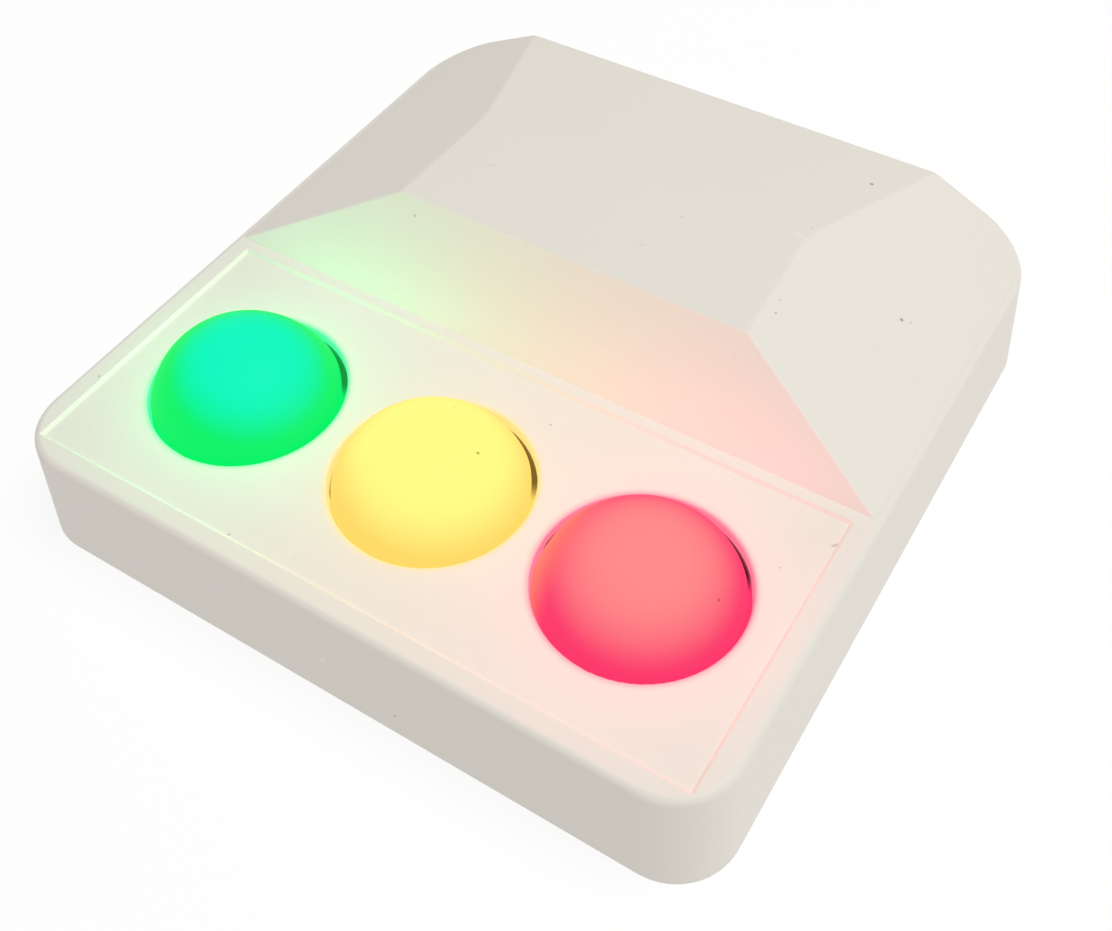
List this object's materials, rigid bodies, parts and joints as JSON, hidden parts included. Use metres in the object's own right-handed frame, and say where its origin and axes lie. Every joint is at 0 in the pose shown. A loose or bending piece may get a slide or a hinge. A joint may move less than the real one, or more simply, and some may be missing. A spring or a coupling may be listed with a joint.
{
  "type": "signal light",
  "caption": "Square wall-mounted signal light with a row of lit green, yellow and red domes in a recessed panel and a faceted raised back.",
  "frame": {"origin": "centre of the back face, which lies on the wall", "axes": "+Z out of the wall, +X along the lamps from green to red, +Y from the lamps to the raised back"},
  "size_m": [0.0852, 0.085, 0.0237],
  "materials": {
    "white_shell": "fine satin moulded ABS, warm white",
    "white_plate": "satin moulded ABS, warm white",
    "green_lens": "translucent satin plastic, lit green",
    "yellow_lens": "translucent satin plastic, lit yellow",
    "red_lens": "translucent satin plastic, lit red",
    "baffle_white": "smooth white reflector",
    "board_green": "solder-masked fibreglass",
    "screw_steel": "zinc-plated",
    "lamp_white": "white lamp body with clear cup",
    "terminal_green": "moulded polyamide",
    "clamp_brass": "nickel-plated",
    "chip_black": "moulded epoxy",
    "resistor_black": "glazed film on a white body",
    "ceramic_tan": "fired ceramic with tinned ends",
    "fuse_white": "ceramic body with plated ends",
    "can_aluminium": "drawn can",
    "ferrite_grey": "pressed ferrite"
  },
  "bodies": {
    "root": {"front_cover": "white_shell", "back_plate": "white_plate", "green_lens": "green_lens", "yellow_lens": "yellow_lens", "red_lens": "red_lens", "light_baffle": "baffle_white", "circuit_board": "board_green", "board_screws": "screw_steel", "green_led": "lamp_white", "yellow_led": "lamp_white", "red_led": "lamp_white", "terminal_block": "terminal_green", "terminal_clamps": "clamp_brass", "terminal_screws": "screw_steel", "controller_chip": "chip_black", "voltage_regulator": "chip_black", "driver_transistors": "chip_black", "led_resistors": "resistor_black", "ceramic_capacitors": "ceramic_tan", "protection_diode": "chip_black", "board_fuse": "fuse_white", "smoothing_capacitor": "can_aluminium", "filter_inductor": "ferrite_grey"}
  },
  "joints": []
}
